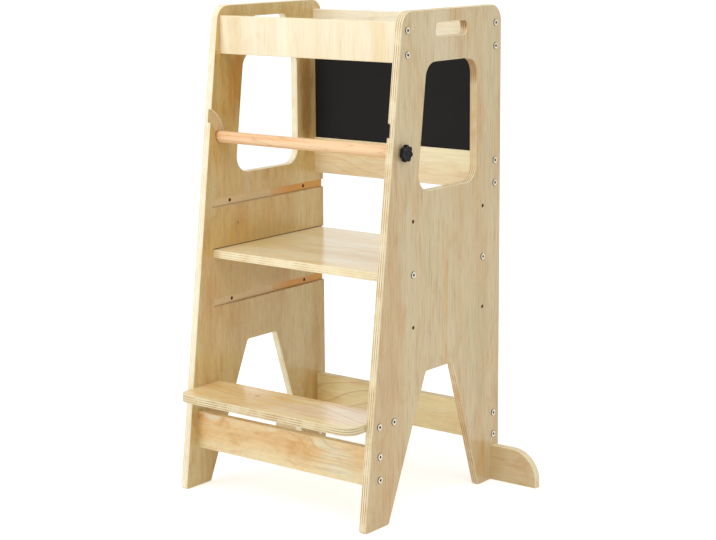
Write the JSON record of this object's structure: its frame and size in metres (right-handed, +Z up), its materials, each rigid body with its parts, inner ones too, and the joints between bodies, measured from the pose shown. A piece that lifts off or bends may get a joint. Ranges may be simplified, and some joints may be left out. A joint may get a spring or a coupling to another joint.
{
  "type": "toddler kitchen helper stool",
  "caption": "Wooden toddler tower with tapered side panels, a step, a standing platform on grooves, a lift-out safety rail and a blackboard back.",
  "frame": {"origin": "on the floor, at the middle of the overall width and depth", "axes": "+Z up; the step and the safety rail are on the front, which faces -Y; +X is the side with the clamp knob"},
  "size_m": [0.638, 0.4404, 0.9],
  "materials": {
    "panel_ply": "clear satin lacquer on birch-faced plywood",
    "board_ply": "clear satin lacquer on pine-faced plywood",
    "rail_wood": "clear satin lacquer on solid wood",
    "blackboard": "matt black writing paint on fibreboard",
    "zinc_steel": "bright zinc plate",
    "black_plastic": "moulded, satin"
  },
  "bodies": {
    "tower": {"right_side_panel": "panel_ply", "left_side_panel": "panel_ply", "top_front_rail": "board_ply", "top_back_rail": "board_ply", "lower_back_rail": "board_ply", "front_cross_board": "board_ply", "rear_cross_board": "board_ply", "blackboard_panel": "blackboard", "platform": "board_ply", "front_step": "board_ply", "right_anti_tip_foot": "board_ply", "left_anti_tip_foot": "board_ply", "clamp_insert": "zinc_steel", "top_front_bolts": "zinc_steel", "top_back_bolts": "zinc_steel", "lower_back_bolts": "zinc_steel", "rear_cross_bolts": "zinc_steel", "front_cross_bolts": "zinc_steel", "step_bolts": "zinc_steel", "platform_bolts": "zinc_steel"},
    "rail": {"safety_rail": "rail_wood"},
    "clamp_screw": {"clamp_stud": "zinc_steel"},
    "clamp_grip": {"clamp_knob": "black_plastic"}
  },
  "joints": [
    {"name": "rail_swing", "type": "hinge", "parent": "tower", "child": "rail", "pos_m": [0, -0.13072, 0.658], "axis": [1, 0, 0], "range_deg": [0, 115]},
    {"name": "clamp_slide", "type": "slide", "parent": "tower", "child": "clamp_screw", "axis": [1, 0, 0], "range_m": [0, 0.005]},
    {"name": "clamp_turn", "type": "hinge", "parent": "clamp_screw", "child": "clamp_grip", "pos_m": [0.224, -0.08572, 0.6573], "axis": [1, 0, 0], "range_deg": [0, 1800]}
  ],
  "couplings": [
    {"joint": "clamp_turn", "follows": "clamp_slide", "rad_per_m": 6283.1}
  ]
}
